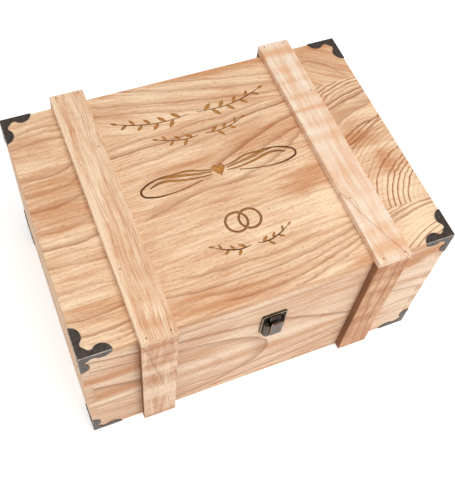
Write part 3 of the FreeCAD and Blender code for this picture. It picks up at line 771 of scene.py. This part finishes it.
def hardware(node, body, finishes, edge, worn_and_highlit_folds=False, recess=None):
    """Metal piece in the shape that the frame gives it, with broken edges in the second finish.

    Long rounded folds take it too, as wear and as a painted highlight along them. Where recess gives a place
    along Y, front faces that lie deeper take the third finish, a painted shade for the recess, and those of a
    rim just before it the fourth, worn and partly a painted highlight."""
    shape = bmesh.new()
    shape.from_mesh(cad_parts[node].data)
    bmesh.ops.remove_doubles(shape, verts=shape.verts, dist=weld_gap)
    bmesh.ops.dissolve_limit(shape, angle_limit=flat_turn, verts=shape.verts, edges=shape.edges)
    for face in shape.faces:
        face.smooth = True
        slanted = max(abs(part) for part in face.normal) < 0.99
        # Long folds take the lighter steel: wear, and a painted highlight along the fold.
        if worn_and_highlit_folds and slanted and max(side.calc_length() for side in face.edges) > fold_length:
            face.material_index = 1
        middle = face.calc_center_median()
        if recess is not None and face.normal.y < -0.9 and middle.y > recess - rim_rise:
            face.material_index = 2 if middle.y > recess else 3
    for face in break_edges(shape, edge):
        face.material_index = 1
    piece = fit(f"{node}_metal", shape, node, body, finishes)
    piece.data.set_sharp_from_angle(angle=smooth_turn)
    piece.modifiers.new("flat faces", "WEIGHTED_NORMAL").keep_sharp = True


blackened_steel = metal("blackened_steel", "38312d", "4a403a", 0.38, seed=1.0)
# Lighter steel for worn edges; on the folds and tack rims it also paints their highlight.
wear_and_sheen_steel = metal("wear_and_sheen_steel", "7d736b", "a1978e", 0.34, seed=2.0)
for level, body in (("bottom", "base"), ("top", "lid")):
    for face in ("front", "back"):
        for side in ("left", "right"):
            hardware(f"{level}_corner_{face}_{side}", body, [blackened_steel, wear_and_sheen_steel],
                     corner_edge, worn_and_highlit_folds=True)


# Tacks and nails
# Small domed steel tacks hold the corners, and slim finishing nails hold the straps.
# They are driven until their heads sit on the surface. The tacks are japanned black, and the nails browned.

tack_edge = 0.08 * mm
tack_steel = metal("tack_steel", "17120f", "231d1a", 0.2, metallic=0.0, mottle_reach=0.8, seed=3.0)
nail_steel = metal("nail_steel", "30261f", "4a3c33", 0.36, mottle_reach=0.6, seed=4.0)
for node, body, slot, steel in (
    ("bottom_corner_tacks", "base", "tack_metal", tack_steel),
    ("top_corner_tacks", "lid", "tack_metal", tack_steel),
    ("base_strap_nails", "base", "nail_metal", nail_steel),
    ("lid_strap_nails", "lid", "nail_metal", nail_steel),
):
    # Their broken edges take the lighter steel: worn, and partly a painted highlight round the dark heads.
    hardware(node, body, [steel, wear_and_sheen_steel], tack_edge)


# Hinges
# Two steel butt hinges in an old-brass finish, screwed to the back of the base and the lid.
# Their leaves are rolled round a pin with a head at each end.

leaf_edge = 0.15 * mm
hinge_pin_edge = 0.12 * mm
screw_edge = 0.08 * mm
old_brass = metal("old_brass", "5e5040", "7d6a50", 0.4, mottle_reach=2.0, seed=5.0)
bright_brass = metal("bright_brass", "a08a62", "c4ac7c", 0.3, seed=6.0)
for side in ("left", "right"):
    hardware(f"hinge_{side}_lower_leaf", "base", [old_brass, bright_brass], leaf_edge)
    hardware(f"hinge_{side}_upper_leaf", "lid", [old_brass, bright_brass], leaf_edge)
    hardware(f"hinge_{side}_pin", "base", [old_brass, bright_brass], hinge_pin_edge)
hardware("hinge_lower_screws", "base", [old_brass, bright_brass], screw_edge)
hardware("hinge_upper_screws", "lid", [old_brass, bright_brass], screw_edge)


# Latch
# A pressed keeper on the lid with a hanging tongue, and a base plate whose cheeks carry a lever on a pin.
# All of it is steel in a dark bronze finish, nailed on, with the high edges rubbed to brass.

plate_rise = 1.0 * mm
plate_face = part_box("base_front_wall")[0].y - plate_rise
keeper_edge = 0.5 * mm
plate_edge = 0.3 * mm
lever_edge = 0.5 * mm
latch_pin_edge = 0.1 * mm
latch_nail_edge = 0.06 * mm
dark_bronze = metal("dark_bronze", "241c17", "392d25", 0.36, mottle_reach=2.5, seed=7.0)
# Near-black bronze for the faces sunk inside the rims: painted shade in the recess.
recess_shade_bronze = metal("recess_shade_bronze", "0d0a08", "181310", 0.5, metallic=0.3, mottle_reach=2.5, seed=10.0)
lever_bronze = metal("lever_bronze", "42342c", "5f4e44", 0.36, mottle_reach=3.0, seed=8.0)
rubbed_brass = metal("rubbed_brass", "b59a68", "e3cd9c", 0.3, metallic=0.85, seed=9.0)
# Lighter brass for the rims' fronts: worn, and partly a painted highlight along them.
rim_wear_and_sheen_brass = metal("rim_wear_and_sheen_brass", "6e5d42", "a89068", 0.34, mottle_reach=1.5, seed=13.0)
cheek_bronze = metal("cheek_bronze", "33281f", "4e4035", 0.36, mottle_reach=2.5, seed=12.0)
hardware("latch_keeper", "lid", [dark_bronze, rubbed_brass, recess_shade_bronze, rim_wear_and_sheen_brass],
         keeper_edge, recess=plate_face)
hardware("latch_keeper_nails", "lid", [dark_bronze, rubbed_brass], latch_nail_edge)
hardware("latch_base", "base", [cheek_bronze, rubbed_brass, recess_shade_bronze, rim_wear_and_sheen_brass],
         plate_edge, recess=plate_face)
hardware("latch_base_nails", "base", [dark_bronze, rubbed_brass], latch_nail_edge)
hardware("latch_lever", "latch_lever", [lever_bronze, rubbed_brass], lever_edge)
hardware("latch_pin", "base", [dark_bronze, rubbed_brass], latch_pin_edge)


# Floor, light and camera
# A white floor in white surroundings, lit by a large soft lamp overhead and weaker ones at the left and the
# front. The camera looks down over the front left corner, as in the photograph.

floor_half = 6.0
floor_material, floor_tree, floor_surface = bare_material("white_floor")
floor_surface.inputs["Base Color"].default_value = (0.86, 0.85, 0.84, 1.0)
floor_surface.inputs["Roughness"].default_value = 0.9
floor_surface.inputs["Specular IOR Level"].default_value = 0.1
floor_mesh = bpy.data.meshes.new("floor")
floor_shape = bmesh.new()
bmesh.ops.create_grid(floor_shape, x_segments=1, y_segments=1, size=floor_half)
floor_shape.to_mesh(floor_mesh)
floor_shape.free()
floor_mesh.materials.append(floor_material)
floor = bpy.data.objects.new("floor", floor_mesh)
bpy.context.scene.collection.objects.link(floor)


def seen(tree):
    """1 where the camera, a reflection or clear glass sees the surroundings, 0 for light cast on things."""
    path = tree.nodes.new("ShaderNodeLightPath")
    either = calc(tree, "MAXIMUM", path.outputs["Is Camera Ray"], path.outputs["Is Glossy Ray"])
    return calc(tree, "MAXIMUM", either, path.outputs["Is Transmission Ray"])


glow_share = 0.46
glow = floor_tree.nodes.new("ShaderNodeEmission")
glow.inputs["Color"].default_value = (1.0, 1.0, 1.0, 1.0)
feed(floor_tree, glow.inputs["Strength"], calc(floor_tree, "MULTIPLY", seen(floor_tree), glow_share))
both = floor_tree.nodes.new("ShaderNodeAddShader")
feed(floor_tree, both.inputs[0], floor_surface.outputs["BSDF"])
feed(floor_tree, both.inputs[1], glow.outputs["Emission"])
feed(floor_tree, floor_tree.nodes["Material Output"].inputs["Surface"], both.outputs["Shader"])

surround_light = 0.43
world = bpy.data.worlds.new("white_surround")
bpy.context.scene.world = world
world.use_nodes = True
sky = world.node_tree.nodes["Background"]
sky.inputs["Color"].default_value = (1.0, 1.0, 1.0, 1.0)
sky_strength = spread(world.node_tree, seen(world.node_tree), 0.0, 1.0, surround_light, 1.0)
feed(world.node_tree, sky.inputs["Strength"], sky_strength)


def soft_lamp(name, place, aim, size, power):
    lamp = bpy.data.lights.new(name, "AREA")
    lamp.shape = "DISK"
    lamp.size = size
    lamp.energy = power
    stand = bpy.data.objects.new(name, lamp)
    stand.location = place
    stand.rotation_euler = (Vector(aim) - Vector(place)).to_track_quat("-Z", "Y").to_euler()
    bpy.context.scene.collection.objects.link(stand)


lamp_aim = (0.0, 0.0, 0.1)
lamp_size = 1.2
soft_lamp("key_lamp", (0.15, -0.45, 1.7), lamp_aim, lamp_size, power=15.5)
soft_lamp("left_lamp", (-1.5, -0.2, 0.9), lamp_aim, lamp_size, power=4.0)
soft_lamp("front_lamp", (0.6, -1.5, 0.9), lamp_aim, lamp_size, power=8.1)

photo_height_pixels = 482
focal_pixels = 778.1
camera_data = bpy.data.cameras.new("camera")
camera_data.sensor_width = 36.0
camera_data.lens = camera_data.sensor_width * focal_pixels / photo_height_pixels
camera = bpy.data.objects.new("camera", camera_data)
camera_place = Vector((-0.2089, -0.4047, 0.8340))
camera_aim = Vector((0.0054, -0.0191, 0.1000))
camera_roll = math.radians(8.25)
look = (camera_aim - camera_place).to_track_quat("-Z", "Y").to_matrix().to_4x4()
camera.matrix_world = Matrix.Translation(camera_place) @ look @ Matrix.Rotation(camera_roll, 4, "Z")
bpy.context.scene.collection.objects.link(camera)
bpy.context.scene.camera = camera
bpy.context.scene.view_settings.view_transform = "Standard"
